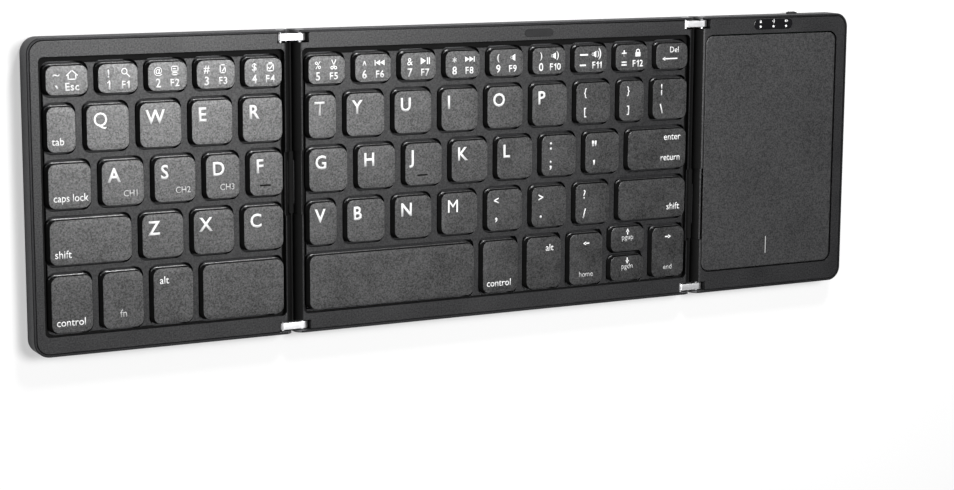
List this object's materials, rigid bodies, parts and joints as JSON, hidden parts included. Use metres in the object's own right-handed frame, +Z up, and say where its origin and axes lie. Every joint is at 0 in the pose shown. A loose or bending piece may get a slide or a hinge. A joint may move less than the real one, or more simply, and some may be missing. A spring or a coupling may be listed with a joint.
{
  "type": "folding keyboard",
  "caption": "Slim tri-fold keyboard with a touchpad: two wings fold over the keys of a centre panel on double hinges.",
  "frame": {"origin": "middle of the open keyboard's footprint, at the soles of its feet", "axes": "keyboard open and flat: +X along it, from the left wing to the touchpad; +Y away from the typist; +Z up out of the keys"},
  "size_m": [0.3046, 0.0988, 0.0081],
  "materials": {
    "cover_metal": "dark space-grey, bead-blasted and anodised",
    "bezel_plastic": "fine satin",
    "web_plastic": "fine satin",
    "plate_steel": "stamped sheet, painted black",
    "dome_rubber": "smoke-grey silicone",
    "foot_rubber": "matte",
    "hinge_steel": "bright satin",
    "ribbon_film": "black satin film",
    "touchpad_surface": "fine matte grain",
    "circuit_board": "dark green lacquer",
    "battery_pouch": "foil pouch",
    "socket_metal": "plated",
    "switch_plastic": "satin",
    "window_plastic": "smoked and glossy",
    "key_plastic": "fine glinting grain with pale legends"
  },
  "bodies": {
    "centre": {"centre_cover": "cover_metal", "centre_bezel": "bezel_plastic", "centre_web": "web_plastic", "centre_key_plate": "plate_steel", "centre_switch_sheet": "dome_rubber", "centre_feet": "foot_rubber", "centre_pins": "hinge_steel", "buffer_pad": "foot_rubber"},
    "left_link": {"left_link_bars": "hinge_steel", "left_hinge_spine": "bezel_plastic", "left_flex_ribbon": "ribbon_film"},
    "left_wing": {"left_cover": "cover_metal", "left_bezel": "bezel_plastic", "left_web": "web_plastic", "left_key_plate": "plate_steel", "left_switch_sheet": "dome_rubber", "left_feet": "foot_rubber", "left_pins": "hinge_steel"},
    "right_link": {"right_link_bars": "hinge_steel", "right_hinge_spine": "bezel_plastic", "right_flex_ribbon": "ribbon_film"},
    "right_wing": {"right_cover": "cover_metal", "right_frame": "bezel_plastic", "right_feet": "foot_rubber", "right_pins": "hinge_steel", "main_board": "circuit_board", "battery": "battery_pouch", "usb_socket": "socket_metal", "power_switch": "switch_plastic", "led_window": "window_plastic"},
    "touchpad": {"touchpad": "touchpad_surface", "touchpad_board": "circuit_board"},
    "switch_knob": {"switch_knob": "switch_plastic"},
    "esc_key": {"esc_key": "key_plastic"},
    "number_keys_left": {"number_keys_left": "key_plastic"},
    "tab_key": {"tab_key": "key_plastic"},
    "letter_keys_left_top": {"letter_keys_left_top": "key_plastic"},
    "caps_key": {"caps_key": "key_plastic"},
    "letter_keys_left_home": {"letter_keys_left_home": "key_plastic"},
    "left_shift_key": {"left_shift_key": "key_plastic"},
    "letter_keys_left_bottom": {"letter_keys_left_bottom": "key_plastic"},
    "left_ctrl_key": {"left_ctrl_key": "key_plastic"},
    "fn_key": {"fn_key": "key_plastic"},
    "left_alt_key": {"left_alt_key": "key_plastic"},
    "left_space_key": {"left_space_key": "key_plastic"},
    "number_keys_centre": {"number_keys_centre": "key_plastic"},
    "delete_key": {"delete_key": "key_plastic"},
    "letter_keys_centre_top": {"letter_keys_centre_top": "key_plastic"},
    "punctuation_keys": {"punctuation_keys": "key_plastic"},
    "letter_keys_centre_home": {"letter_keys_centre_home": "key_plastic"},
    "enter_key": {"enter_key": "key_plastic"},
    "letter_keys_centre_bottom": {"letter_keys_centre_bottom": "key_plastic"},
    "right_shift_key": {"right_shift_key": "key_plastic"},
    "right_space_key": {"right_space_key": "key_plastic"},
    "right_ctrl_key": {"right_ctrl_key": "key_plastic"},
    "right_alt_key": {"right_alt_key": "key_plastic"},
    "left_arrow_key": {"left_arrow_key": "key_plastic"},
    "up_arrow_key": {"up_arrow_key": "key_plastic"},
    "down_arrow_key": {"down_arrow_key": "key_plastic"},
    "right_arrow_key": {"right_arrow_key": "key_plastic"}
  },
  "joints": [
    {"name": "fold_left_link", "type": "hinge", "parent": "centre", "child": "left_link", "pos_m": [-0.06225, 0, 0.005], "axis": [0, 1, 0], "range_deg": [0, 90], "deforming": ["left_flex_ribbon"]},
    {"name": "fold_left_wing", "type": "hinge", "parent": "left_link", "child": "left_wing", "pos_m": [-0.06905, 0, 0.005], "axis": [0, 1, 0], "range_deg": [0, 90], "deforming": ["left_flex_ribbon"]},
    {"name": "fold_right_link", "type": "hinge", "parent": "centre", "child": "right_link", "pos_m": [0.08405, 0, 0.005], "axis": [0, -1, 0], "range_deg": [0, 90], "deforming": ["right_flex_ribbon"]},
    {"name": "fold_right_wing", "type": "hinge", "parent": "right_link", "child": "right_wing", "pos_m": [0.09085, 0, 0.005], "axis": [0, -1, 0], "range_deg": [0, 90], "deforming": ["right_flex_ribbon"]},
    {"name": "touchpad_click", "type": "hinge", "parent": "right_wing", "child": "touchpad", "pos_m": [0.1193, 0.04235, 0.0064], "axis": [1, 0, 0], "range_deg": [0, 0.24], "stiffness_Nm_per_rad": 12, "springref_deg": -0.06},
    {"name": "power_slide", "type": "slide", "parent": "right_wing", "child": "switch_knob", "axis": [1, 0, 0], "range_m": [0, 0.002]},
    {"name": "press_esc_key", "type": "slide", "parent": "left_wing", "child": "esc_key", "axis": [0, 0, -1], "range_m": [0, 0.0012], "stiffness_N_per_m": 400, "springref_m": -0.0003, "deforming": ["left_switch_sheet"]},
    {"name": "press_number_keys_left", "type": "slide", "parent": "left_wing", "child": "number_keys_left", "axis": [0, 0, -1], "range_m": [0, 0.0012], "stiffness_N_per_m": 400, "springref_m": -0.0003, "deforming": ["left_switch_sheet"]},
    {"name": "press_tab_key", "type": "slide", "parent": "left_wing", "child": "tab_key", "axis": [0, 0, -1], "range_m": [0, 0.0012], "stiffness_N_per_m": 400, "springref_m": -0.0003, "deforming": ["left_switch_sheet"]},
    {"name": "press_letter_keys_left_top", "type": "slide", "parent": "left_wing", "child": "letter_keys_left_top", "axis": [0, 0, -1], "range_m": [0, 0.0012], "stiffness_N_per_m": 400, "springref_m": -0.0003, "deforming": ["left_switch_sheet"]},
    {"name": "press_caps_key", "type": "slide", "parent": "left_wing", "child": "caps_key", "axis": [0, 0, -1], "range_m": [0, 0.0012], "stiffness_N_per_m": 400, "springref_m": -0.0003, "deforming": ["left_switch_sheet"]},
    {"name": "press_letter_keys_left_home", "type": "slide", "parent": "left_wing", "child": "letter_keys_left_home", "axis": [0, 0, -1], "range_m": [0, 0.0012], "stiffness_N_per_m": 400, "springref_m": -0.0003, "deforming": ["left_switch_sheet"]},
    {"name": "press_left_shift_key", "type": "slide", "parent": "left_wing", "child": "left_shift_key", "axis": [0, 0, -1], "range_m": [0, 0.0012], "stiffness_N_per_m": 400, "springref_m": -0.0003, "deforming": ["left_switch_sheet"]},
    {"name": "press_letter_keys_left_bottom", "type": "slide", "parent": "left_wing", "child": "letter_keys_left_bottom", "axis": [0, 0, -1], "range_m": [0, 0.0012], "stiffness_N_per_m": 400, "springref_m": -0.0003, "deforming": ["left_switch_sheet"]},
    {"name": "press_left_ctrl_key", "type": "slide", "parent": "left_wing", "child": "left_ctrl_key", "axis": [0, 0, -1], "range_m": [0, 0.0012], "stiffness_N_per_m": 400, "springref_m": -0.0003, "deforming": ["left_switch_sheet"]},
    {"name": "press_fn_key", "type": "slide", "parent": "left_wing", "child": "fn_key", "axis": [0, 0, -1], "range_m": [0, 0.0012], "stiffness_N_per_m": 400, "springref_m": -0.0003, "deforming": ["left_switch_sheet"]},
    {"name": "press_left_alt_key", "type": "slide", "parent": "left_wing", "child": "left_alt_key", "axis": [0, 0, -1], "range_m": [0, 0.0012], "stiffness_N_per_m": 400, "springref_m": -0.0003, "deforming": ["left_switch_sheet"]},
    {"name": "press_left_space_key", "type": "slide", "parent": "left_wing", "child": "left_space_key", "axis": [0, 0, -1], "range_m": [0, 0.0012], "stiffness_N_per_m": 400, "springref_m": -0.0003, "deforming": ["left_switch_sheet"]},
    {"name": "press_number_keys_centre", "type": "slide", "parent": "centre", "child": "number_keys_centre", "axis": [0, 0, -1], "range_m": [0, 0.0012], "stiffness_N_per_m": 400, "springref_m": -0.0003, "deforming": ["centre_switch_sheet"]},
    {"name": "press_delete_key", "type": "slide", "parent": "centre", "child": "delete_key", "axis": [0, 0, -1], "range_m": [0, 0.0012], "stiffness_N_per_m": 400, "springref_m": -0.0003, "deforming": ["centre_switch_sheet"]},
    {"name": "press_letter_keys_centre_top", "type": "slide", "parent": "centre", "child": "letter_keys_centre_top", "axis": [0, 0, -1], "range_m": [0, 0.0012], "stiffness_N_per_m": 400, "springref_m": -0.0003, "deforming": ["centre_switch_sheet"]},
    {"name": "press_punctuation_keys", "type": "slide", "parent": "centre", "child": "punctuation_keys", "axis": [0, 0, -1], "range_m": [0, 0.0012], "stiffness_N_per_m": 400, "springref_m": -0.0003, "deforming": ["centre_switch_sheet"]},
    {"name": "press_letter_keys_centre_home", "type": "slide", "parent": "centre", "child": "letter_keys_centre_home", "axis": [0, 0, -1], "range_m": [0, 0.0012], "stiffness_N_per_m": 400, "springref_m": -0.0003, "deforming": ["centre_switch_sheet"]},
    {"name": "press_enter_key", "type": "slide", "parent": "centre", "child": "enter_key", "axis": [0, 0, -1], "range_m": [0, 0.0012], "stiffness_N_per_m": 400, "springref_m": -0.0003, "deforming": ["centre_switch_sheet"]},
    {"name": "press_letter_keys_centre_bottom", "type": "slide", "parent": "centre", "child": "letter_keys_centre_bottom", "axis": [0, 0, -1], "range_m": [0, 0.0012], "stiffness_N_per_m": 400, "springref_m": -0.0003, "deforming": ["centre_switch_sheet"]},
    {"name": "press_right_shift_key", "type": "slide", "parent": "centre", "child": "right_shift_key", "axis": [0, 0, -1], "range_m": [0, 0.0012], "stiffness_N_per_m": 400, "springref_m": -0.0003, "deforming": ["centre_switch_sheet"]},
    {"name": "press_right_space_key", "type": "slide", "parent": "centre", "child": "right_space_key", "axis": [0, 0, -1], "range_m": [0, 0.0012], "stiffness_N_per_m": 400, "springref_m": -0.0003, "deforming": ["centre_switch_sheet"]},
    {"name": "press_right_ctrl_key", "type": "slide", "parent": "centre", "child": "right_ctrl_key", "axis": [0, 0, -1], "range_m": [0, 0.0012], "stiffness_N_per_m": 400, "springref_m": -0.0003, "deforming": ["centre_switch_sheet"]},
    {"name": "press_right_alt_key", "type": "slide", "parent": "centre", "child": "right_alt_key", "axis": [0, 0, -1], "range_m": [0, 0.0012], "stiffness_N_per_m": 400, "springref_m": -0.0003, "deforming": ["centre_switch_sheet"]},
    {"name": "press_left_arrow_key", "type": "slide", "parent": "centre", "child": "left_arrow_key", "axis": [0, 0, -1], "range_m": [0, 0.0012], "stiffness_N_per_m": 400, "springref_m": -0.0003, "deforming": ["centre_switch_sheet"]},
    {"name": "press_up_arrow_key", "type": "slide", "parent": "centre", "child": "up_arrow_key", "axis": [0, 0, -1], "range_m": [0, 0.0012], "stiffness_N_per_m": 400, "springref_m": -0.0003, "deforming": ["centre_switch_sheet"]},
    {"name": "press_down_arrow_key", "type": "slide", "parent": "centre", "child": "down_arrow_key", "axis": [0, 0, -1], "range_m": [0, 0.0012], "stiffness_N_per_m": 400, "springref_m": -0.0003, "deforming": ["centre_switch_sheet"]},
    {"name": "press_right_arrow_key", "type": "slide", "parent": "centre", "child": "right_arrow_key", "axis": [0, 0, -1], "range_m": [0, 0.0012], "stiffness_N_per_m": 400, "springref_m": -0.0003, "deforming": ["centre_switch_sheet"]}
  ]
}
